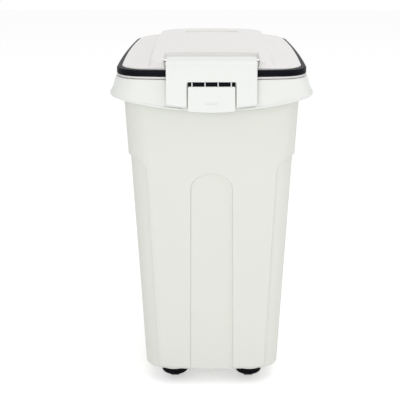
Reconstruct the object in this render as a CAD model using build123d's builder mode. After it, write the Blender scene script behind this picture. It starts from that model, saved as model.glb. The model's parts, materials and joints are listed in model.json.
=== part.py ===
from build123d import *

import os

# Dog food bin on casters, with a sealed lid, a front latch and a rear hinge.
# Millimetres, +Z up, the front faces -Y, and the origin is on the floor under the middle.

# Plan outline, taken at the seal; every other outline is grown or shrunk from it
seal_half_width = 157.5
side_taper = 15.5           # how far each side closes in towards the rear
seal_half_depth = 210.0
front_bow = 12.0
side_bow = 5.5
rear_bow = 8.0
front_corner = 45.0
rear_corner = 62.0

# Tub
tub_base_z = 28.0
tub_rim_z = 557.0
tub_base_shrink = 35.0      # seal outline to the tub's foot
tub_rim_shrink = 8.5        # seal outline to the tub's rim
tub_wall = 3.0
tub_floor = 3.6
foot_round = 9.0
inner_round = 12.0
panel_depth = 3.4
rim_flange = 6.0
rim_flange_thickness = 4.0

# Arched panels in the tub's front and rear
arch_half_width = 35.5
arch_foot_half_width = 38.6
arch_spring_drop = 186.5    # tub's rim to the arch's spring
arch_rise = 28.5

# Sunk corners of the tub
corner_top_drop = 132.0     # tub's rim to the sunk corner's top
corner_round = 30.0
corner_line_inset_x = 48.0  # seal outline to the inner edge below the round
corner_foot_inset_x = 64.2
corner_line_inset_y = 106.0
corner_foot_inset_y = 120.0

# Collar round the rim
collar_thickness = 4.5
collar_wall = 3.0
collar_grow = 1.5
collar_flare = 0.3          # outward run for each millimetre down
collar_round = 1.5
collar_drop = 49.3          # top to the lowest point, at the front middle
collar_edge_arc = 620.0     # radius of the lower edge, seen from the front
lip_height = 3.0
lip_stand = 1.2
lip_gap_spread = 7.7        # past the latch window, on each side

# Lid
lid_gap = 0.8
flange_thickness = 3.4
flange_shrink = 1.0
seal_height = 10.5
seal_width = 13.0
seal_round = 1.4
seal_groove = 0.6
shell_shrink = 8.5          # seal outline to the lid's white edge
shell_edge = 2.5
shell_wall = 2.5
crown_rise = 7.8            # top of the side fields over the lid's edge
crown_radius_long = 5200.0
crown_radius_cross = 2200.0
crown_middle_y = 15.0
panel_rise = 9.5            # centre panel over the side fields
panel_side_inset = 51.5
panel_rear_side_inset = 40.0
panel_side_bow = 4.0
panel_front_inset = 3.0
panel_rear_inset = 12.0
panel_lean = 9.0            # how far the sides lean in, from the seal to the crown
panel_front_corner = 14.0
panel_rear_corner = 40.0
panel_round = 2.5
edge_round = 1.5
dip_half_length = 50.0
dip_half_width = 13.0
dip_inset = 69.0            # panel's rear to the dip's middle
dip_depth = 1.4
plug_gap = 2.4
plug_wall = 2.6
plug_drop = 12.0

# Latch
latch_half_width = 74.0
latch_side_gap = 3.0
latch_pin_inset = 22.0      # seal's front to the pin
latch_pin_radius = 2.5
latch_knuckle_radius = 6.5
latch_pocket_length = 54.0  # pin to the pocket's rear wall
pocket_slope = 10.0         # degrees
latch_rise = 18.3           # over the seal's top
latch_nose_stand = 2.0      # in front of the seal's bow
latch_nose_drop = 3.0
latch_foot_run = 26.0       # foot in front of the nose
latch_drop = 44.1           # collar's top to the plate's bowed foot, were it not cut open
latch_wall = 3.6
latch_nose_round = 7.0
latch_foot_arc = 380.0
latch_foot_chamfer = 2.2
latch_window_round = 3.0
latch_window_half_width = 40.3
latch_window_drop = 1.9     # collar's top to the window's head
tab_side_gap = 1.9
tab_head_gap = 7.3          # window's head to the tab
tab_drop = 49.5             # collar's top to the tab's bowed foot
tab_foot_arc = 219.0
tab_corner = 2.4
web_width = 1.8
web_end_inset = 6.6
web_count = 4
web_thickness = 1.4
web_gap = 0.35

# Rear hinge
hinge_pin_radius = 2.5
hinge_barrel_radius = 7.0
hinge_barrel_length = 24.0
hinge_spacing = 104.0       # barrel middle to barrel middle
hinge_ear_thickness = 5.5
hinge_side_gap = 0.4
hinge_rise = 8.5            # pin over the collar's top
hinge_set_back = 21.0       # pin behind the seal's rear
hinge_arm_thickness = 4.5
hinge_ear_drop = 26.0
hinge_head_radius = 4.0
hinge_head_thickness = 1.6
seal_arm_gap = 0.6
pin_clearance = 0.06

# Casters
caster_front_side_inset = 55.5   # from the tub's foot outline, before its bow
caster_rear_side_inset = 46.0
caster_front_inset = 25.0
caster_rear_inset = 29.0
hood_radius = 23.3
hood_foot_z = 6.0
hood_sink = 12.0            # hood's top over the tub's underside
hood_round = 8.0
hood_top_round = 2.0
stem_round = 1.0
well_gap = 4.0
swivel_gap = 0.6
wheel_radius = 15.0
wheel_width = 16.5
wheel_round = 2.0
wheel_trail = 7.5
wheel_side_gap = 1.0
wheel_top_gap = 1.5
axle_radius = 1.75
axle_length = 38.0
stem_radius = 5.0
stem_length = 22.0
socket_wall = 2.6
socket_fit = 0.05
socket_floor = 2.0
socket_lip = 2.0
socket_lip_thickness = 1.6
boss_wall = 3.0

# Screws that hold the lid's two shells together
screw_radius = 1.5
screw_head_radius = 3.2
screw_head_height = 2.2
screw_grip = 8.0
screw_clearance = 0.05
screw_boss_radius = 4.2
screw_front_inset = (32.5, 80.0)
screw_middle_inset = (29.5, 200.0)
screw_rear_inset = (30.0, 70.0)

# Places that follow from the sizes above
rear_half_width = seal_half_width - side_taper
arch_spring_z = tub_rim_z - arch_spring_drop
corner_top_z = tub_rim_z - corner_top_drop
corner_line_x = seal_half_width - corner_line_inset_x
corner_foot_line_x = seal_half_width - corner_foot_inset_x
corner_line_y = seal_half_depth - corner_line_inset_y
corner_foot_line_y = seal_half_depth - corner_foot_inset_y
collar_top_z = tub_rim_z + collar_thickness
flange_base_z = collar_top_z + lid_gap
flange_top_z = flange_base_z + flange_thickness
seal_top_z = flange_top_z + seal_height
shell_top_z = seal_top_z + shell_edge
crown_z = shell_top_z + crown_rise
panel_z = crown_z + panel_rise
hinge_z = collar_top_z + hinge_rise
hinge_y = seal_half_depth + rear_bow + hinge_set_back
panel_half_width = seal_half_width - panel_side_inset
panel_rear_half_width = rear_half_width - panel_rear_side_inset
panel_front_y = panel_front_inset - seal_half_depth
panel_rear_y = seal_half_depth - panel_rear_inset
dip_middle_y = panel_rear_y - dip_inset
latch_top_z = seal_top_z + latch_rise
latch_pin_y = latch_pin_inset - seal_half_depth
latch_pin_z = latch_top_z - latch_knuckle_radius
latch_pocket_rear_y = latch_pin_y + latch_pocket_length
latch_nose_y = -seal_half_depth - front_bow - latch_nose_stand
latch_foot_y = latch_nose_y - latch_foot_run
latch_foot_z = collar_top_z - latch_drop
latch_window_top_z = collar_top_z - latch_window_drop
tab_half_width = latch_window_half_width - tab_side_gap
tab_top_z = latch_window_top_z - tab_head_gap
tab_foot_z = collar_top_z - tab_drop
web_spacing = 2 * (tab_half_width - web_end_inset) / (web_count - 1)
lip_gap_half_width = latch_window_half_width + lip_gap_spread
pocket_half_width = latch_half_width + latch_side_gap
tub_draft = (tub_base_shrink - tub_rim_shrink) / (tub_rim_z - tub_base_z)
caster_front_x = seal_half_width - tub_base_shrink - caster_front_side_inset
caster_rear_x = rear_half_width - tub_base_shrink - caster_rear_side_inset
caster_front_y = caster_front_inset + tub_base_shrink - seal_half_depth
caster_rear_y = seal_half_depth - tub_base_shrink - caster_rear_inset
hood_top_z = tub_base_z + hood_sink
hood_height = hood_top_z - hood_foot_z
well_radius = hood_radius + well_gap
well_top_z = hood_top_z + swivel_gap + socket_lip_thickness
socket_radius = stem_radius + pin_clearance + socket_wall
socket_top_z = hood_top_z + stem_length + swivel_gap + socket_floor
screw_places = [
    (seal_half_width - screw_front_inset[0], screw_front_inset[1] - seal_half_depth),
    (seal_half_width - screw_middle_inset[0], seal_half_depth - screw_middle_inset[1]),
    (rear_half_width - screw_rear_inset[0], seal_half_depth - screw_rear_inset[1]),
]
far = 400.0                 # past every outline, for cutting blocks
caster_places = {
    "front_left": (-caster_front_x, caster_front_y),
    "front_right": (caster_front_x, caster_front_y),
    "rear_left": (-caster_rear_x, caster_rear_y),
    "rear_right": (caster_rear_x, caster_rear_y),
}

os.makedirs("parts", exist_ok=True)


def plan_face(z, grow):
    """The bin's plan: a bowed front, sides that close towards the rear, and four round corners."""
    front_x = seal_half_width + grow
    rear_x = rear_half_width + grow
    end_y = seal_half_depth + grow
    middle_x = (front_x + rear_x) / 2 + side_bow
    with BuildSketch(Plane.XY.offset(z)) as outline:
        with BuildLine():
            ThreePointArc((-front_x, -end_y), (0, -end_y - front_bow), (front_x, -end_y))
            ThreePointArc((front_x, -end_y), (middle_x, 0), (rear_x, end_y))
            ThreePointArc((rear_x, end_y), (0, end_y + rear_bow), (-rear_x, end_y))
            ThreePointArc((-rear_x, end_y), (-middle_x, 0), (-front_x, -end_y))
        make_face()
        fillet(outline.vertices().group_by(Axis.Y)[0], front_corner)
        fillet(outline.vertices().group_by(Axis.Y)[-1], rear_corner)
    return outline.sketch


def plan_block(low_z, high_z, low_grow, high_grow):
    """A solid between two plan outlines."""
    with BuildPart() as block:
        loft([plan_face(low_z, low_grow), plan_face(high_z, high_grow)])
    return block.part


def tub_grow(z):
    """How far the tub's outside is grown from the seal outline at a height."""
    return -tub_rim_shrink - (tub_rim_z - z) * tub_draft


def tub_taper(low_z, high_z, inset):
    """The tub's outside, moved in by an inset, between two heights."""
    return plan_block(low_z, high_z, tub_grow(low_z) - inset, tub_grow(high_z) - inset)


def collar_grow_at(z):
    """How far the collar's outside is grown from the seal outline at a height."""
    return collar_grow + (collar_top_z - z) * collar_flare


def collar_taper(high_z, inset):
    """The collar's flared outside, moved in by an inset, from a height down past its lowest point."""
    low_z = collar_top_z - collar_drop - 1
    return plan_block(low_z, high_z, collar_grow_at(low_z) - inset, collar_grow_at(high_z) - inset)


def above_arc(low_z, radius):
    """Everything above an arc that is lowest in the middle, seen from the front."""
    rise = far**2 / (2 * radius)
    with BuildPart() as region:
        with BuildSketch(Plane.XZ):
            with BuildLine():
                edge = ThreePointArc((-far, low_z + rise), (0, low_z), (far, low_z + rise))
                Polyline(edge @ 1, (far, panel_z + far), (-far, panel_z + far), edge @ 0)
            make_face()
        extrude(amount=far, both=True)
    return region.part


def arch_cutter(spread):
    """A tall arch, straight through from front to rear, with its edge moved out by a spread."""
    with BuildPart() as cutter:
        with BuildSketch(Plane.XZ):
            with BuildLine():
                head = EllipticalCenterArc(
                    (0, arch_spring_z), arch_half_width + spread, arch_rise + spread, arc_size=180
                )
                Polyline(
                    head @ 1,
                    (-arch_foot_half_width - spread, 0),
                    (arch_foot_half_width + spread, 0),
                    head @ 0,
                )
            make_face()
        extrude(amount=far, both=True)
    return cutter.part


def corner_prism(plane, line, foot_line, spread):
    """Two sunk corners seen square on: straight inner edges, each with a quarter round at its head."""
    edge_top_z = corner_top_z - corner_round
    with BuildPart() as prism:
        with BuildSketch(plane):
            with BuildLine():
                head = RadiusArc(
                    (line - spread, edge_top_z),
                    (line + corner_round, corner_top_z + spread),
                    corner_round + spread,
                )
                Polyline(
                    head @ 1,
                    (far, corner_top_z + spread),
                    (far, 0),
                    (foot_line - spread, 0),
                    head @ 0,
                )
            make_face()
            mirror(about=Plane.YZ)
        extrude(amount=far, both=True)
    return prism.part


def corner_cutter(spread):
    """The four sunk corners: where the outline seen from the front meets the one from the side."""
    across = corner_prism(Plane.XZ, corner_line_x, corner_foot_line_x, spread)
    along = corner_prism(Plane.YZ, corner_line_y, corner_foot_line_y, spread)
    return across & along


def tub_skin(base_z, top_z, inset, edge_radius):
    """The tub's outer or inner skin as a solid, with its arched panels and corners sunk in."""
    sunk = tub_taper(base_z - 2, top_z + 2, inset + panel_depth)
    with BuildPart() as skin:
        add(tub_taper(base_z, top_z, inset))
        fillet(skin.faces().sort_by(Axis.Z)[0].edges(), edge_radius)
        add(arch_cutter(inset) - sunk, mode=Mode.SUBTRACT)
        add(corner_cutter(inset) - sunk, mode=Mode.SUBTRACT)
    return skin.part


def crowned_block(crest_z):
    """A thick slab with a gently crowned top, wider than the lid."""
    axis_z = crest_z - crown_radius_long
    side_drop = far**2 / (2 * crown_radius_cross)
    side_r = crown_radius_long - side_drop
    inner_r = side_r - far / 4
    with BuildPart() as slab:
        with BuildSketch(Plane.XY.offset(axis_z)):
            with BuildLine():
                top = ThreePointArc(
                    (-far, crown_middle_y + side_r),
                    (0, crown_middle_y + crown_radius_long),
                    (far, crown_middle_y + side_r),
                )
                Polyline(
                    top @ 1,
                    (far, crown_middle_y + inner_r),
                    (-far, crown_middle_y + inner_r),
                    top @ 0,
                )
            make_face()
        revolve(axis=Axis((0, crown_middle_y, axis_z), (1, 0, 0)))
    return slab.part


def panel_face(z, inset):
    """The lid's raised centre in plan, moved in by an inset."""
    front_x = panel_half_width - inset
    rear_x = panel_rear_half_width - inset
    front_y = panel_front_y + inset
    rear_y = panel_rear_y - inset
    side_x = (front_x + rear_x) / 2 + panel_side_bow
    side_y = (front_y + rear_y) / 2
    with BuildSketch(Plane.XY.offset(z)) as outline:
        with BuildLine():
            Line((-front_x, front_y), (front_x, front_y))
            ThreePointArc((front_x, front_y), (side_x, side_y), (rear_x, rear_y))
            ThreePointArc((rear_x, rear_y), (0, rear_y + rear_bow), (-rear_x, rear_y))
            ThreePointArc((-rear_x, rear_y), (-side_x, side_y), (-front_x, front_y))
        make_face()
        fillet(outline.vertices().group_by(Axis.Y)[0], panel_front_corner)
        fillet(outline.vertices().group_by(Axis.Y)[-1], panel_rear_corner)
    return outline.sketch


def lid_panel(inset):
    """The lid's raised centre as a block with sloping sides, moved in by an inset."""
    with BuildPart() as block:
        loft([panel_face(seal_top_z, inset), panel_face(panel_z, inset + panel_lean)])
    return block.part


# Tub: a tapered shell with sunk panels, a rim flange, and a well and boss for each caster
with BuildPart() as bin_body:
    add(tub_skin(tub_base_z, tub_rim_z, 0, foot_round))
    add(plan_block(tub_rim_z - rim_flange_thickness, tub_rim_z, *2 * [rim_flange - tub_rim_shrink]))
    add(tub_skin(tub_base_z + tub_floor, tub_rim_z + 1, tub_wall, inner_round), mode=Mode.SUBTRACT)
    with Locations([(x, y, tub_base_z) for x, y in caster_places.values()]):
        Cylinder(
            well_radius + boss_wall,
            well_top_z + tub_floor - tub_base_z,
            align=(Align.CENTER, Align.CENTER, Align.MIN),
        )
        Cylinder(
            socket_radius + boss_wall,
            socket_top_z + boss_wall - tub_base_z,
            align=(Align.CENTER, Align.CENTER, Align.MIN),
        )
    with Locations([(x, y, 0) for x, y in caster_places.values()]):
        Cylinder(
            well_radius,
            well_top_z,
            align=(Align.CENTER, Align.CENTER, Align.MIN),
            mode=Mode.SUBTRACT,
        )
        Cylinder(
            socket_radius + socket_fit,
            socket_top_z,
            align=(Align.CENTER, Align.CENTER, Align.MIN),
            mode=Mode.SUBTRACT,
        )
bin_body.part.label = "bin_body"
export_step(bin_body.part, "parts/bin_body.step")

# Collar: a flat ring on the rim, a flared skirt with a lip along its drooping edge, and hinge ears
hinge_ear_x = [
    side * hinge_spacing / 2 + end * (hinge_barrel_length + hinge_ear_thickness + 2 * hinge_side_gap) / 2
    for side in (-1, 1)
    for end in (-1, 1)
]
collar_low_z = collar_top_z - collar_drop
ear_low_z = hinge_z - hinge_ear_drop
with BuildPart() as rim_collar:
    add(collar_taper(collar_top_z, 0))
    fillet(rim_collar.faces().sort_by(Axis.Z)[-1].edges(), collar_round)
    add(collar_taper(tub_rim_z, -lip_stand) - above_arc(collar_low_z + lip_height, collar_edge_arc))
    add(above_arc(collar_low_z, collar_edge_arc), mode=Mode.INTERSECT)
    notch = Box(2 * lip_gap_half_width, far / 2, far / 4, mode=Mode.PRIVATE)
    notch = notch.moved(Location((0, -seal_half_depth, collar_low_z)))
    add(notch - collar_taper(collar_top_z, 0), mode=Mode.SUBTRACT)
    add(collar_taper(tub_rim_z, collar_wall), mode=Mode.SUBTRACT)
    add(
        plan_block(tub_rim_z - 1, collar_top_z + 1, *2 * [-tub_rim_shrink - tub_wall]),
        mode=Mode.SUBTRACT,
    )
    ear_top_y = seal_half_depth + rear_bow + collar_grow
    ear_low_y = seal_half_depth + rear_bow + collar_grow_at(ear_low_z) - collar_wall / 2
    for x in hinge_ear_x:
        with BuildSketch(Plane.YZ.offset(x)) as ear:
            with Locations((hinge_y, hinge_z)):
                Circle(hinge_barrel_radius)
            Polygon(
                (ear_top_y - collar_wall / 2, collar_top_z - collar_round),
                (ear_top_y + 1, collar_top_z),
                (ear_low_y, ear_low_z),
                align=None,
            )
            make_hull()
        extrude(amount=hinge_ear_thickness / 2, both=True)
    with Locations(Location((0, hinge_y, hinge_z), (0, 90, 0))):
        Cylinder(hinge_pin_radius + pin_clearance, far, mode=Mode.SUBTRACT)
rim_collar.part.label = "rim_collar"
export_step(rim_collar.part, "parts/rim_collar.step")

# Lid's lower shell: a flat panel with a plug wall that stands inside the tub's mouth
plug_grow = -tub_rim_shrink - tub_wall - plug_gap
screw_xy = [(side * x, y) for x, y in screw_places for side in (-1, 1)]
with BuildPart() as lid_liner:
    add(plan_block(flange_base_z, flange_top_z, -flange_shrink, -flange_shrink))
    add(plan_block(flange_base_z - plug_drop, flange_base_z, plug_grow, plug_grow))
    add(
        plan_block(flange_base_z - plug_drop - 1, flange_base_z, *2 * [plug_grow - plug_wall]),
        mode=Mode.SUBTRACT,
    )
    with Locations([(x, y, flange_base_z) for x, y in screw_xy]):
        Cylinder(screw_radius + screw_clearance, far / 4, mode=Mode.SUBTRACT)
lid_liner.part.label = "lid_liner"
export_step(lid_liner.part, "parts/lid_liner.step")

# Seal: a soft ring clamped between the lid's shells, with a groove round its outside
groove_z = (flange_top_z + seal_top_z) / 2
with BuildPart() as lid_gasket:
    add(plan_block(flange_top_z, seal_top_z, 0, 0))
    fillet(lid_gasket.edges().filter_by(Plane.XY), seal_round)
    add(
        plan_block(groove_z - seal_groove, groove_z + seal_groove, 1, 1)
        - plan_block(groove_z - 2 * seal_groove, groove_z + 2 * seal_groove, *2 * [-seal_groove]),
        mode=Mode.SUBTRACT,
    )
    add(plan_block(flange_top_z - 1, seal_top_z + 1, *2 * [-seal_width]), mode=Mode.SUBTRACT)
lid_gasket.part.label = "lid_gasket"
export_step(lid_gasket.part, "parts/lid_gasket.step")


def lid_fields(inset):
    """The lid's crowned side fields as a solid, moved in by an inset."""
    block = plan_block(seal_top_z, panel_z, *2 * [-shell_shrink - inset])
    return block & crowned_block(crown_z - inset)


def lid_centre(inset):
    """The lid's crowned centre panel as a solid, moved in by an inset."""
    return lid_panel(inset) & crowned_block(panel_z - inset)


def pocket_block(spread):
    """The latch's pocket, open to the front and the top, with its walls moved out by a spread."""
    length = latch_pocket_rear_y + seal_half_depth + far / 4
    with BuildPart() as block:
        with BuildSketch(Plane.XY.offset(shell_top_z - spread)):
            with Locations((0, latch_pocket_rear_y + spread - length / 2)):
                Rectangle(2 * (pocket_half_width + spread), length)
        extrude(amount=far / 4, taper=-pocket_slope)
    return block.part


# Lid's upper shell: crowned fields, a raised centre with the latch's pocket, and hinge barrels
hinge_x = [-hinge_spacing / 2, hinge_spacing / 2]
arm_z = seal_top_z + seal_arm_gap + hinge_arm_thickness / 2
arm_start_y = seal_half_depth + rear_bow - shell_shrink - 2 * shell_wall
pin_half_length = pocket_half_width + shell_wall
with BuildPart() as lid_shell:
    add(lid_fields(0))
    fillet(lid_shell.faces().sort_by(Axis.Z)[-1].edges(), edge_round)
    with BuildPart(mode=Mode.PRIVATE) as raised:
        add(lid_centre(0))
        fillet(raised.faces().sort_by(Axis.Z)[-1].edges(), panel_round)
    add(raised.part)
    dip = Box(2 * dip_half_length, 2 * dip_half_width, far / 4, mode=Mode.PRIVATE)
    dip = dip.moved(Location((0, dip_middle_y, panel_z)))
    add(dip - crowned_block(panel_z - dip_depth), mode=Mode.SUBTRACT)
    hollow = lid_fields(shell_wall) + lid_centre(shell_wall)
    add(hollow - pocket_block(shell_wall), mode=Mode.SUBTRACT)
    add(pocket_block(0), mode=Mode.SUBTRACT)
    with BuildPart(mode=Mode.PRIVATE) as bosses:
        with Locations([(x, y, flange_top_z) for x, y in screw_xy]):
            Cylinder(
                screw_boss_radius,
                crown_z - flange_top_z,
                align=(Align.CENTER, Align.CENTER, Align.MIN),
            )
        add(crowned_block(crown_z - shell_wall / 2), mode=Mode.INTERSECT)
    add(bosses.part)
    with Locations([(x, y, flange_top_z) for x, y in screw_xy]):
        Cylinder(screw_radius + screw_clearance, 2 * screw_grip, mode=Mode.SUBTRACT)
    for x in hinge_x:
        with BuildSketch(Plane.YZ.offset(x)):
            with BuildLine():
                FilletPolyline(
                    (arm_start_y, arm_z),
                    (hinge_y - hinge_barrel_radius / 2, arm_z),
                    (hinge_y, hinge_z),
                    radius=hinge_barrel_radius / 2,
                )
            trace(line_width=hinge_arm_thickness)
            with Locations((hinge_y, hinge_z)):
                Circle(hinge_barrel_radius)
        extrude(amount=hinge_barrel_length / 2, both=True)
    with Locations(Location((0, hinge_y, hinge_z), (0, 90, 0))):
        Cylinder(hinge_pin_radius + pin_clearance, far, mode=Mode.SUBTRACT)
    with Locations(Location((0, latch_pin_y, latch_pin_z), (0, 90, 0))):
        Cylinder(latch_pin_radius + pin_clearance, 2 * pin_half_length + 1, mode=Mode.SUBTRACT)
lid_shell.part.label = "lid_shell"
export_step(lid_shell.part, "parts/lid_shell.step")

# Screws that draw the lid's shells together, heads below
with BuildPart() as lid_screws:
    with Locations([(x, y, flange_base_z) for x, y in screw_xy]):
        Cylinder(
            screw_radius,
            flange_thickness + screw_grip,
            align=(Align.CENTER, Align.CENTER, Align.MIN),
        )
        Cylinder(
            screw_head_radius,
            screw_head_height,
            align=(Align.CENTER, Align.CENTER, Align.MAX),
        )
lid_screws.part.label = "lid_screws"
export_step(lid_screws.part, "parts/lid_screws.step")


def latch_wrap(half_width):
    """The latch plate's bent section, over the lid's edge and down its front, at a width."""
    middle = latch_wall / 2
    with BuildPart() as wrap:
        with BuildSketch(Plane.YZ):
            with BuildLine():
                FilletPolyline(
                    (latch_pin_y, latch_top_z - middle),
                    (latch_nose_y + middle, latch_top_z - latch_nose_drop - middle),
                    (latch_foot_y + middle, latch_foot_z - far / 20),
                    radius=latch_nose_round,
                )
            trace(line_width=latch_wall)
        extrude(amount=half_width, both=True)
    return wrap.part


def window_block(half_width, top_z, corner):
    """A block through the latch plate from below, with rounded upper corners."""
    with BuildPart() as block:
        with BuildSketch(Plane.XZ):
            with Locations((0, top_z - far / 2)):
                RectangleRounded(2 * half_width, far, corner)
        extrude(amount=far, both=True)
    return block.part


# Latch: a plate that turns on a pin in the lid's pocket, with a window for the sprung tab
with BuildPart() as latch_plate:
    add(latch_wrap(latch_half_width))
    add(above_arc(latch_foot_z, latch_foot_arc), mode=Mode.INTERSECT)
    foot = latch_plate.edges().group_by(Axis.Z)[0] + latch_plate.edges().group_by(Axis.Z)[1]
    chamfer(foot.sort_by(Axis.Y)[0], latch_foot_chamfer)
    add(window_block(latch_window_half_width, latch_window_top_z, latch_window_round), mode=Mode.SUBTRACT)
    with Locations(Location((0, latch_pin_y, latch_pin_z), (0, 90, 0))):
        Cylinder(latch_knuckle_radius, 2 * latch_half_width)
        Cylinder(latch_pin_radius + pin_clearance, far, mode=Mode.SUBTRACT)
latch_plate.part.label = "latch_plate"
export_step(latch_plate.part, "parts/latch_plate.step")

# Tab: a sprung tongue in the plate's window, carried by thin webs
web_z = (tab_top_z + latch_window_top_z) / 2
web_height = latch_window_top_z - web_gap - tab_top_z
nose_z = latch_top_z - latch_nose_drop
plate_run = (latch_nose_y - latch_foot_y) / (nose_z - latch_foot_z + far / 20)
web_y = latch_nose_y - (nose_z - web_z) * plate_run + latch_wall / 2
with BuildPart() as latch_tab:
    add(latch_wrap(tab_half_width))
    add(window_block(tab_half_width, tab_top_z, tab_corner), mode=Mode.INTERSECT)
    add(above_arc(tab_foot_z, tab_foot_arc), mode=Mode.INTERSECT)
    web_row = (web_count - 1) * web_spacing
    for place in range(web_count):
        with Locations((place * web_spacing - web_row / 2, web_y, tab_top_z - web_gap)):
            Box(
                web_width,
                web_thickness,
                web_height + web_gap,
                align=(Align.CENTER, Align.CENTER, Align.MIN),
            )
latch_tab.part.label = "latch_tab"
export_step(latch_tab.part, "parts/latch_tab.step")

# Pins
with BuildPart(Plane.YZ.offset(-pin_half_length)) as latch_pin:
    with Locations((latch_pin_y, latch_pin_z)):
        Cylinder(
            latch_pin_radius,
            2 * pin_half_length,
            align=(Align.CENTER, Align.CENTER, Align.MIN),
        )
latch_pin.part.label = "latch_pin"
export_step(latch_pin.part, "parts/latch_pin.step")

hinge_pin_length = hinge_barrel_length + 2 * (hinge_side_gap + hinge_ear_thickness)
for name, side in (("hinge_pin_left", -1), ("hinge_pin_right", 1)):
    outer_x = side * (hinge_spacing + hinge_pin_length) / 2
    with BuildPart() as hinge_pin:
        with Locations(Location((outer_x, hinge_y, hinge_z), (0, -90 * side, 0))):
            Cylinder(
                hinge_pin_radius,
                hinge_pin_length,
                align=(Align.CENTER, Align.CENTER, Align.MIN),
            )
            Cylinder(
                hinge_head_radius,
                hinge_head_thickness,
                align=(Align.CENTER, Align.CENTER, Align.MAX),
            )
    hinge_pin.part.label = name
    export_step(hinge_pin.part, f"parts/{name}.step")

# Casters: a socket in the tub, a hooded fork on a stem, and an axle with its wheel
with BuildPart() as caster_socket:
    with Locations((0, 0, well_top_z)):
        Cylinder(
            socket_radius,
            socket_top_z - well_top_z,
            align=(Align.CENTER, Align.CENTER, Align.MIN),
        )
        Cylinder(
            socket_radius + socket_lip,
            socket_lip_thickness,
            align=(Align.CENTER, Align.CENTER, Align.MAX),
        )
    Cylinder(
        stem_radius + pin_clearance,
        socket_top_z - socket_floor,
        align=(Align.CENTER, Align.CENTER, Align.MIN),
        mode=Mode.SUBTRACT,
    )

slot_radius = wheel_radius + wheel_top_gap
with BuildPart() as caster_fork:
    with Locations((0, 0, hood_foot_z)):
        Cylinder(hood_radius, hood_height, align=(Align.CENTER, Align.CENTER, Align.MIN))
    fillet(caster_fork.edges().group_by(Axis.Z)[0], hood_round)
    fillet(caster_fork.edges().group_by(Axis.Z)[-1], hood_top_round)
    with Locations((0, 0, hood_top_z)):
        Cylinder(stem_radius, stem_length, align=(Align.CENTER, Align.CENTER, Align.MIN))
    fillet(caster_fork.edges().group_by(Axis.Z)[-1], stem_round)
    with BuildSketch(Plane.YZ):
        with Locations((wheel_trail, wheel_radius)):
            Circle(slot_radius)
        with Locations((wheel_trail, wheel_radius)):
            Rectangle(far / 4, slot_radius, align=(Align.MIN, Align.MAX))
        with Locations((wheel_trail, wheel_radius)):
            Rectangle(2 * slot_radius, slot_radius, align=(Align.CENTER, Align.MAX))
    extrude(amount=wheel_width / 2 + wheel_side_gap, both=True, mode=Mode.SUBTRACT)
    with Locations(Location((0, wheel_trail, wheel_radius), (0, 90, 0))):
        Cylinder(axle_radius + pin_clearance, axle_length + 2 * pin_clearance, mode=Mode.SUBTRACT)

with BuildPart() as caster_axle:
    with Locations(Location((0, wheel_trail, wheel_radius), (0, 90, 0))):
        Cylinder(axle_radius, axle_length)

with BuildPart() as caster_wheel:
    with Locations(Location((0, wheel_trail, wheel_radius), (0, 90, 0))):
        Cylinder(wheel_radius, wheel_width)
        fillet(caster_wheel.edges(), wheel_round)
        Cylinder(axle_radius + pin_clearance, wheel_width, mode=Mode.SUBTRACT)

for place, (x, y) in caster_places.items():
    for kind, piece in (
        ("socket", caster_socket),
        ("fork", caster_fork),
        ("axle", caster_axle),
        ("wheel", caster_wheel),
    ):
        placed = piece.part.moved(Location((x, y, 0)))
        placed.label = f"caster_{kind}_{place}"
        export_step(placed, f"parts/caster_{kind}_{place}.step")
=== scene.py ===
import json
from math import pi, radians

import bmesh
import bpy
from mathutils import Matrix, Vector
from mathutils.bvhtree import BVHTree


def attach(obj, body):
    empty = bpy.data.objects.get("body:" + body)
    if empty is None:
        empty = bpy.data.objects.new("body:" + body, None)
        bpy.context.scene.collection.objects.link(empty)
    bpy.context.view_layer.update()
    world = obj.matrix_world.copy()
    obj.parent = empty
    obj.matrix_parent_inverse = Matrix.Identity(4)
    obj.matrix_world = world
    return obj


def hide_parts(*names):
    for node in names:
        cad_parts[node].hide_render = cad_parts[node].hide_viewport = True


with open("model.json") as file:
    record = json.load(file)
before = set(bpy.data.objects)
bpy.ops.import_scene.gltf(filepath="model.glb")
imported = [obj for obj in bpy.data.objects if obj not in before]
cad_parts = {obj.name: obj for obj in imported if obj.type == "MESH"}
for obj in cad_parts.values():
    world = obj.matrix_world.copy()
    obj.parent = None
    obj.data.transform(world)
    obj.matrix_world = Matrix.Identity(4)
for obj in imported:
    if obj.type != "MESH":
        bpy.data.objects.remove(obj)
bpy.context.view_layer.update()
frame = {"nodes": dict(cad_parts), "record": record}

nodes = frame["nodes"]
print("frame loaded:", len(nodes), "nodes")


# Material helpers

def addNode(tree, kind, place, **values):
    node = tree.nodes.new(kind)
    node.location = place
    for name, value in values.items():
        setattr(node, name, value)
    return node


def newGroup(name, inputs, outputs):
    group = bpy.data.node_groups.new(name, "ShaderNodeTree")
    for label, kind, value in inputs:
        socket = group.interface.new_socket(label, in_out="INPUT", socket_type=kind)
        socket.default_value = value
    for label, kind in outputs:
        group.interface.new_socket(label, in_out="OUTPUT", socket_type=kind)
    start = addNode(group, "NodeGroupInput", (-900, 0))
    end = addNode(group, "NodeGroupOutput", (700, 0))
    return group, start, end


skinNoise = {
    "grainDetail": 2.0,
    "slowScale": 9.0,
    "slowDetail": 3.0,
    "bumpHeight": 0.0003,
    "edgeSamples": 6,
}


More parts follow.
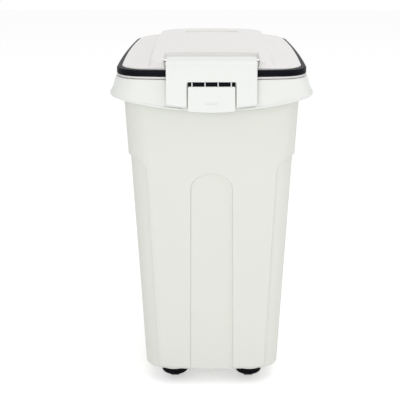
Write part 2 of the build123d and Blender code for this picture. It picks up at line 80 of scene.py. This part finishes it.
def makeMouldedSkin():
    # fine spark-eroded grain, the slow unevenness of a large moulding, and softened edges
    group, start, end = newGroup(
        "mouldedSkin",
        [
            ("Base", "NodeSocketColor", (0.8, 0.8, 0.8, 1)),
            ("Tone Shift", "NodeSocketFloat", 0.02),
            ("Grain Size", "NodeSocketFloat", 1400.0),
            ("Grain Depth", "NodeSocketFloat", 0.12),
            ("Roughness", "NodeSocketFloat", 0.5),
            ("Roughness Spread", "NodeSocketFloat", 0.06),
            ("Edge Radius", "NodeSocketFloat", 0.0012),
        ],
        [
            ("Color", "NodeSocketColor"),
            ("Roughness", "NodeSocketFloat"),
            ("Normal", "NodeSocketVector"),
        ],
    )
    link = group.links.new
    coords = addNode(group, "ShaderNodeTexCoord", (-900, -300))
    grain = addNode(group, "ShaderNodeTexNoise", (-600, -100))
    grain.inputs["Detail"].default_value = skinNoise["grainDetail"]
    slow = addNode(group, "ShaderNodeTexNoise", (-600, -400))
    slow.inputs["Scale"].default_value = skinNoise["slowScale"]
    slow.inputs["Detail"].default_value = skinNoise["slowDetail"]
    link(coords.outputs["Object"], grain.inputs["Vector"])
    link(coords.outputs["Object"], slow.inputs["Vector"])
    link(start.outputs["Grain Size"], grain.inputs["Scale"])
    bump = addNode(group, "ShaderNodeBump", (-200, -100))
    bump.inputs["Distance"].default_value = skinNoise["bumpHeight"]
    link(grain.outputs["Fac"], bump.inputs["Height"])
    link(start.outputs["Grain Depth"], bump.inputs["Strength"])
    edges = addNode(group, "ShaderNodeBevel", (-450, 150), samples=skinNoise["edgeSamples"])
    link(start.outputs["Edge Radius"], edges.inputs["Radius"])
    link(edges.outputs["Normal"], bump.inputs["Normal"])
    centred = addNode(group, "ShaderNodeMath", (-350, -400), operation="SUBTRACT")
    centred.inputs[1].default_value = 0.5
    link(slow.outputs["Fac"], centred.inputs[0])
    tone = addNode(group, "ShaderNodeMath", (-150, -400), operation="MULTIPLY_ADD")
    tone.inputs[2].default_value = 1.0
    link(centred.outputs[0], tone.inputs[0])
    link(start.outputs["Tone Shift"], tone.inputs[1])
    shade = addNode(group, "ShaderNodeMix", (100, 100), data_type="RGBA", blend_type="MULTIPLY")
    shade.inputs["Factor"].default_value = 1.0
    link(start.outputs["Base"], shade.inputs["A"])
    link(tone.outputs[0], shade.inputs["B"])
    spread = addNode(group, "ShaderNodeMath", (100, -300), operation="MULTIPLY_ADD")
    link(centred.outputs[0], spread.inputs[0])
    link(start.outputs["Roughness Spread"], spread.inputs[1])
    link(start.outputs["Roughness"], spread.inputs[2])
    link(shade.outputs["Result"], end.inputs["Color"])
    link(spread.outputs[0], end.inputs["Roughness"])
    link(bump.outputs["Normal"], end.inputs["Normal"])
    return group


mouldedSkin = makeMouldedSkin()
skinInputs = {
    "Tone Shift": "toneShift",
    "Grain Size": "grainSize",
    "Grain Depth": "grainDepth",
    "Roughness": "roughness",
    "Roughness Spread": "roughnessSpread",
    "Edge Radius": "edgeRadius",
}


def plasticMaterial(name, look):
    material = bpy.data.materials.new(name)
    material.use_nodes = True
    tree = material.node_tree
    shader = tree.nodes["Principled BSDF"]
    skin = addNode(tree, "ShaderNodeGroup", (-400, 0), node_tree=mouldedSkin)
    skin.inputs["Base"].default_value = (*look["colour"], 1)
    for label, key in skinInputs.items():
        skin.inputs[label].default_value = look[key]
    for label, target in (("Color", "Base Color"), ("Roughness", "Roughness"), ("Normal", "Normal")):
        tree.links.new(skin.outputs[label], shader.inputs[target])
    shader.inputs["Specular IOR Level"].default_value = look["specular"]
    return material


whiteLook = {
    "toneShift": 0.02,
    "grainSize": 1500.0,
    "grainDepth": 0.1,
    "roughness": 0.46,
    "roughnessSpread": 0.06,
    "edgeRadius": 0.0012,
    "specular": 0.5,
}
blackLook = {
    "toneShift": 0.2,
    "grainSize": 1000.0,
    "grainDepth": 0.12,
    "roughness": 0.5,
    "roughnessSpread": 0.1,
    "edgeRadius": 0.0008,
    "specular": 0.12,
}
finishes = {
    "tubMatte": {
        **whiteLook,
        "colour": (0.80, 0.815, 0.755),
        "roughness": 0.52,
        "grainDepth": 0.14,
        "edgeRadius": 0.0018,
    },
    "collarSatin": {**whiteLook, "colour": (0.83, 0.845, 0.815), "roughness": 0.42},
    "lidSatin": {**whiteLook, "colour": (0.83, 0.815, 0.80)},
    "latchSatin": {**whiteLook, "colour": (0.83, 0.85, 0.82), "roughness": 0.40},
    "sealRubber": {**blackLook, "colour": (0.005, 0.006, 0.009), "roughness": 0.42, "specular": 0.05},
    "casterNylon": {**blackLook, "colour": (0.006, 0.006, 0.007), "grainDepth": 0.2, "specular": 0.03},
    "wheelNylon": {**blackLook, "colour": (0.008, 0.008, 0.009), "roughness": 0.45, "specular": 0.05},
}
materials = {name: plasticMaterial(name, look) for name, look in finishes.items()}


def steelMaterial(name, look):
    material = bpy.data.materials.new(name)
    material.use_nodes = True
    tree = material.node_tree
    shader = tree.nodes["Principled BSDF"]
    shader.inputs["Base Color"].default_value = (*look["colour"], 1)
    shader.inputs["Metallic"].default_value = 1.0
    coords = addNode(tree, "ShaderNodeTexCoord", (-900, 0))
    stretch = addNode(tree, "ShaderNodeMapping", (-700, 0))
    stretch.inputs["Scale"].default_value = look["streaks"]
    streaks = addNode(tree, "ShaderNodeTexNoise", (-500, 0))
    streaks.inputs["Scale"].default_value = 1.0
    spread = addNode(tree, "ShaderNodeMapRange", (-250, 0))
    spread.inputs["To Min"].default_value = look["roughness"] - look["roughnessSpread"]
    spread.inputs["To Max"].default_value = look["roughness"] + look["roughnessSpread"]
    tree.links.new(coords.outputs["Object"], stretch.inputs["Vector"])
    tree.links.new(stretch.outputs["Vector"], streaks.inputs["Vector"])
    tree.links.new(streaks.outputs["Fac"], spread.inputs["Value"])
    tree.links.new(spread.outputs["Result"], shader.inputs["Roughness"])
    return material


pinSteel = {
    "colour": (0.62, 0.62, 0.63),
    "roughness": 0.3,
    "roughnessSpread": 0.06,
    "streaks": (30, 900, 900),  # drawn out along X, as the pins lie
}
materials["pinSteel"] = steelMaterial("pinSteel", pinSteel)

finishOfSlot = {
    "body_white": "tubMatte",
    "collar_white": "collarSatin",
    "lid_white": "lidSatin",
    "latch_white": "latchSatin",
    "seal_black": "sealRubber",
    "caster_black": "casterNylon",
    "wheel_black": "wheelNylon",
    "steel": "pinSteel",
}
for subpart in frame["record"]["subparts"]:
    mesh = nodes[subpart["node"]].data
    mesh.materials.clear()
    mesh.materials.append(materials[finishOfSlot[subpart["material_slot"]]])
print("finishes applied")


# Pieces that stand on the frame's nodes

def placePiece(name, data, finish, body):
    data.materials.append(materials[finish])
    piece = bpy.data.objects.new(name, data)
    bpy.context.scene.collection.objects.link(piece)
    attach(piece, body)
    return piece


def addPiece(name, bm, finish, body, sharpAngle=32):
    # a mesh piece, shaded smooth but for its sharp edges
    mesh = bpy.data.meshes.new(name)
    bm.to_mesh(mesh)
    bm.free()
    for polygon in mesh.polygons:
        polygon.use_smooth = True
    mesh.set_sharp_from_angle(angle=radians(sharpAngle))
    return placePiece(name, mesh, finish, body)


def mergedCopy(node):
    bm = bmesh.new()
    bm.from_mesh(nodes[node].data)
    bmesh.ops.remove_doubles(bm, verts=bm.verts, dist=1e-6)
    return bm


def chained(edges):
    # edges into runs of points, longest first
    links = {}
    for edge in edges:
        for vert in edge.verts:
            links.setdefault(vert, []).append(edge)
    left = set(edges)
    runs = []
    while left:
        ends = [v for v, near in links.items() if sum(e in left for e in near) == 1]
        vert = ends[0] if ends else next(e for e in edges if e in left).verts[0]
        run = [vert.co.copy()]
        while True:
            near = [e for e in links[vert] if e in left]
            if not near:
                break
            left.discard(near[0])
            vert = near[0].other_vert(vert)
            run.append(vert.co.copy())
        runs.append(run)
    return sorted(runs, key=len, reverse=True)


def evenly(run, step):
    # the same run with its points a steady step apart
    lengths = [0.0]
    for a, b in zip(run, run[1:]):
        lengths.append(lengths[-1] + (b - a).length)
    count = max(2, round(lengths[-1] / step))
    points, i = [], 0
    for k in range(count + 1):
        wanted = lengths[-1] * k / count
        while i < len(run) - 2 and lengths[i + 1] < wanted:
            i += 1
        span = lengths[i + 1] - lengths[i]
        points.append(run[i].lerp(run[i + 1], (wanted - lengths[i]) / span if span else 0))
    return points


def runAlong(node, wanted, step):
    # evenly spaced points along the longest run of a node's wanted edges
    bm = mergedCopy(node)
    edges = [e for e in bm.edges if len(e.link_faces) == 2 and wanted(e)]
    run = evenly(chained(edges)[0], step)
    bm.free()
    return run


def outwards(point):
    return Vector((point.x, point.y, 0)).normalized()


def midpoint(edge):
    return (edge.verts[0].co + edge.verts[1].co) / 2


collarLip = {
    "edgeArc": 0.68451,         # radius of the collar's lower edge, seen from the front
    "lowZ": 0.5122,             # lowest point of that edge
    "nearEdge": 4e-5,
    "bead": 0.0019,
    "stand": 0.0007,            # how far the bead stands out of the collar at the front
    "flushX": 0.130,            # where it no longer stands out
    "gapHalf": 0.0515,          # half of the gap for the tab
    "step": 0.004,
    "taperedEnds": (0.45, 0.9),
}


def buildCollarLip():
    # rounded bead along the collar's drooping lower edge
    look = collarLip
    arcZ = look["lowZ"] + look["edgeArc"]
    bead = look["bead"]

    def onEdge(element):
        return all(
            abs((v.co.x ** 2 + (v.co.z - arcZ) ** 2) ** 0.5 - look["edgeArc"]) < look["nearEdge"]
            for v in element.verts
        )

    def onOuterEdge(edge):
        if not onEdge(edge):
            return False
        sides = [f for f in edge.link_faces if not onEdge(f)]
        middle = midpoint(edge)
        inGap = abs(middle.x) < look["gapHalf"] and middle.y < 0
        return len(sides) == 1 and not inGap and sides[0].normal.dot(outwards(middle)) > 0

    run = runAlong("rim_collar", onOuterEdge, look["step"])
    data = bpy.data.curves.new("collarLip", "CURVE")
    data.dimensions = "3D"
    data.bevel_depth = bead
    data.bevel_resolution = 3
    data.use_fill_caps = True
    spline = data.splines.new("POLY")
    spline.points.add(len(run) - 1)
    ends = look["taperedEnds"]
    for i, point in enumerate(run):
        inward = bead - look["stand"] * (1 - (point.x / look["flushX"]) ** 2)
        centre = point - outwards(point) * inward + Vector((0, 0, bead))
        fromEnd = min(i, len(run) - 1 - i)
        spline.points[i].co = (*centre, 1)
        spline.points[i].radius = ends[fromEnd] if fromEnd < len(ends) else 1.0
    placePiece("collarLip", data, "collarSatin", "tub")


buildCollarLip()

# painted shade: a dark ring where the gap under the lid lies in shadow
paintedGapShadeRing = {
    "baseZ": 0.5623,            # underside of the lid's lower shell
    "outerInset": 0.0010,
    "innerInset": 0.008,
    "thick": 0.00072,
    "step": 0.006,
}


def insetRun(run, amount):
    # a closed run moved towards its inside
    moved = []
    for i, point in enumerate(run):
        along = run[(i + 1) % len(run)] - run[i - 1]
        side = Vector((-along.y, along.x, 0)).normalized()
        if side.dot(outwards(point)) > 0:
            side = -side
        moved.append(point + side * amount)
    return moved


def buildPaintedGapShadeRing():
    # thin dark ring under the lid's edge: painted shade for the shadowed gap under the lid's lower
    # shell
    look = paintedGapShadeRing

    def onOuterFoot(edge):
        if any(abs(v.co.z - look["baseZ"]) > 1e-5 for v in edge.verts):
            return False
        normals = [f.normal for f in edge.link_faces]
        out = outwards(midpoint(edge))
        return any(n.z < -0.9 for n in normals) and any(n.dot(out) > 0.5 for n in normals)

    run = runAlong("lid_liner", onOuterFoot, look["step"])[:-1]
    outer, inner, thick = look["outerInset"], look["innerInset"], look["thick"]
    ring = bmesh.new()
    loops = []
    for amount, drop in ((outer, 0), (outer, thick), (inner, thick), (inner, 0)):
        verts = [ring.verts.new(p - Vector((0, 0, drop))) for p in insetRun(run, amount)]
        loops.append([ring.edges.new(pair) for pair in zip(verts, verts[1:] + verts[:1])])
    for near, far in zip(loops, loops[1:] + loops[:1]):
        bmesh.ops.bridge_loops(ring, edges=near + far)
    bmesh.ops.recalc_face_normals(ring, faces=ring.faces)
    addPiece("paintedGapShadeRing", ring, "sealRubber", "lid")


buildPaintedGapShadeRing()


def nodeTree(node):
    bm = mergedCopy(node)
    tree = BVHTree.FromBMesh(bm)
    bm.free()
    return tree


def surfaceY(tree, x, z):
    # the front surface's Y behind a point
    return tree.ray_cast(Vector((x, -1, z)), Vector((0, 1, 0)))[0].y


# painted shade: a dark strip where the gap behind the latch lies in shadow
paintedShadeStrip = {
    "halfWidth": 0.0385,
    "lowZ": 0.5475,
    "highZ": 0.5597,
    "thick": 0.0012,
    "sunk": 0.0002,
    "columns": 24,
    "rows": 6,
}


def buildPaintedShadeStrip():
    # dark strip on the collar behind the latch: painted shade for the shadowed gap between latch and
    # collar
    look = paintedShadeStrip
    tree = nodeTree("rim_collar")
    middleZ = (look["lowZ"] + look["highZ"]) / 2
    halfHeight = (look["highZ"] - look["lowZ"]) / 2
    bm = bmesh.new()
    bmesh.ops.create_grid(bm, x_segments=look["columns"], y_segments=look["rows"], size=1)
    for vert in bm.verts:
        x, z = vert.co.x * look["halfWidth"], middleZ + vert.co.y * halfHeight
        vert.co = (x, surfaceY(tree, x, z) + look["sunk"], z)
    grown = bmesh.ops.extrude_face_region(bm, geom=bm.faces[:])["geom"]
    front = [part for part in grown if isinstance(part, bmesh.types.BMVert)]
    bmesh.ops.translate(bm, verts=front, vec=(0, -look["sunk"] - look["thick"], 0))
    bmesh.ops.recalc_face_normals(bm, faces=bm.faces)
    addPiece("paintedShadeStrip", bm, "sealRubber", "tub")


buildPaintedShadeStrip()

gripRibs = {
    "halfWidth": 0.0105,
    "heights": (0.5275, 0.5248),
    "thick": 0.0006,
    "flatness": 0.9,
    "endThickness": 0.15,
    "columns": 20,
    "sides": 8,
}


def buildGripRibs():
    # two low ridges where a finger pulls the tab
    look = gripRibs
    tree = nodeTree("latch_tab")
    upright = Matrix.Rotation(pi / 2, 3, "Y").to_quaternion()
    flattened = Vector((1, look["flatness"], 1))
    bm = bmesh.new()
    for height in look["heights"]:
        last = []
        for c in range(look["columns"] + 1):
            share = 2 * c / look["columns"] - 1
            x = look["halfWidth"] * share
            fall = max(look["endThickness"], (1 - abs(share) ** 8) ** 0.5)
            centre = Vector((x, surfaceY(tree, x, height), height))
            circle = bmesh.ops.create_circle(
                bm,
                cap_ends=c in (0, look["columns"]),
                segments=look["sides"],
                radius=look["thick"] * fall,
                matrix=Matrix.LocRotScale(centre, upright, flattened),
            )
            rim = list({e: None for v in circle["verts"] for e in v.link_edges})
            if last:
                bmesh.ops.bridge_loops(bm, edges=last + rim)
            last = rim
    bmesh.ops.recalc_face_normals(bm, faces=bm.faces)
    addPiece("gripRibs", bm, "latchSatin", "tab")


buildGripRibs()

casterHood = {
    "foot": 0.006,
    "liftedFoot": 0.0115,
    "shoulder": 0.024,          # the hood keeps its form above this
}


def buildCasterHood(place):
    # the fork's hood with its foot drawn up, so that the wheel shows below it
    shoulder = casterHood["shoulder"]
    shorter = (shoulder - casterHood["liftedFoot"]) / (shoulder - casterHood["foot"])
    bm = mergedCopy(f"caster_fork_{place}")
    for vert in bm.verts:
        if vert.co.z < shoulder:
            vert.co.z = shoulder - (shoulder - vert.co.z) * shorter
    piece = addPiece(f"casterHood_{place}", bm, "casterNylon", f"caster_{place}")
    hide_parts(f"caster_fork_{place}")


for place in ("front_left", "front_right", "rear_left", "rear_right"):
    buildCasterHood(place)
print("added pieces built")


# Floor, light and camera

stageLook = {
    "floorColour": (0.86, 0.86, 0.86, 1),
    "floorGlow": 0.45,          # only what the camera sees
    "floorHalf": 6.0,
    "skyStrength": 0.60,
}


def seenDirectly(tree, place):
    # 1 for what the camera, a mirror surface or clear glass shows
    path = addNode(tree, "ShaderNodeLightPath", place)
    first = addNode(tree, "ShaderNodeMath", (place[0] + 200, place[1]), operation="MAXIMUM")
    second = addNode(tree, "ShaderNodeMath", (place[0] + 400, place[1]), operation="MAXIMUM")
    tree.links.new(path.outputs["Is Camera Ray"], first.inputs[0])
    tree.links.new(path.outputs["Is Glossy Ray"], first.inputs[1])
    tree.links.new(first.outputs[0], second.inputs[0])
    tree.links.new(path.outputs["Is Transmission Ray"], second.inputs[1])
    return second.outputs[0]


def buildFloor():
    bm = bmesh.new()
    bmesh.ops.create_grid(bm, x_segments=2, y_segments=2, size=stageLook["floorHalf"])
    mesh = bpy.data.meshes.new("studioFloor")
    bm.to_mesh(mesh)
    bm.free()
    floor = bpy.data.objects.new("studioFloor", mesh)
    bpy.context.scene.collection.objects.link(floor)
    material = bpy.data.materials.new("paleFloor")
    material.use_nodes = True
    tree = material.node_tree
    tree.nodes.clear()
    output = addNode(tree, "ShaderNodeOutputMaterial", (800, 0))
    matte = addNode(tree, "ShaderNodeBsdfDiffuse", (300, 100))
    matte.inputs["Color"].default_value = stageLook["floorColour"]
    glow = addNode(tree, "ShaderNodeEmission", (300, -100))
    both = addNode(tree, "ShaderNodeAddShader", (550, 0))
    amount = addNode(tree, "ShaderNodeMath", (100, -100), operation="MULTIPLY")
    amount.inputs[1].default_value = stageLook["floorGlow"]
    tree.links.new(seenDirectly(tree, (-600, -100)), amount.inputs[0])
    tree.links.new(amount.outputs[0], glow.inputs["Strength"])
    tree.links.new(matte.outputs[0], both.inputs[0])
    tree.links.new(glow.outputs[0], both.inputs[1])
    tree.links.new(both.outputs[0], output.inputs["Surface"])
    mesh.materials.append(material)


def buildWorld():
    world = bpy.data.worlds.new("studioWorld")
    bpy.context.scene.world = world
    world.use_nodes = True
    tree = world.node_tree
    tree.nodes.clear()
    output = addNode(tree, "ShaderNodeOutputWorld", (600, 0))
    sky = addNode(tree, "ShaderNodeBackground", (100, 100))
    sky.inputs["Strength"].default_value = stageLook["skyStrength"]
    sky.inputs["Color"].default_value = (1, 1, 1, 1)
    white = addNode(tree, "ShaderNodeBackground", (100, -100))
    white.inputs["Color"].default_value = (1, 1, 1, 1)
    mix = addNode(tree, "ShaderNodeMixShader", (350, 0))
    tree.links.new(seenDirectly(tree, (-500, 0)), mix.inputs["Fac"])
    tree.links.new(sky.outputs[0], mix.inputs[1])
    tree.links.new(white.outputs[0], mix.inputs[2])
    tree.links.new(mix.outputs[0], output.inputs["Surface"])


lampTarget = Vector((0, 0, 0.32))
lamps = {
    "topPanel": {"place": (0.2, 0.1, 2.6), "size": (2.6, 2.2), "power": 16.5},
    "frontPanel": {"place": (-0.3, -2.15, 0.80), "size": (1.8, 1.0), "power": 12.6},
    "sidePanel": {"place": (2.4, -0.8, 1.2), "size": (1.8, 1.8), "power": 8.0},
}


def buildLamps():
    for name, look in lamps.items():
        data = bpy.data.lights.new(name, "AREA")
        data.shape = "RECTANGLE"
        data.size, data.size_y = look["size"]
        data.energy = look["power"]
        lamp = bpy.data.objects.new(name, data)
        lamp.location = look["place"]
        lamp.rotation_euler = (lampTarget - lamp.location).to_track_quat("-Z", "Y").to_euler()
        bpy.context.scene.collection.objects.link(lamp)


cameraLook = {
    "place": (0.0, -1.920, 0.858),
    "tiltDown": 16.4,           # degrees
    "lens": 94.86,
    "sensorWidth": 36.0,
    "shiftX": -0.029,
    "farthest": 50.0,
}


def buildCamera():
    data = bpy.data.cameras.new("photoCamera")
    data.lens = cameraLook["lens"]
    data.sensor_width = cameraLook["sensorWidth"]
    data.shift_x = cameraLook["shiftX"]
    data.clip_end = cameraLook["farthest"]
    camera = bpy.data.objects.new("photoCamera", data)
    camera.location = cameraLook["place"]
    camera.rotation_euler = (radians(90 - cameraLook["tiltDown"]), 0, 0)
    bpy.context.scene.collection.objects.link(camera)
    bpy.context.scene.camera = camera


buildFloor()
buildWorld()
buildLamps()
buildCamera()
bpy.context.scene.view_settings.view_transform = "Standard"
print("stage, lamps and camera placed")
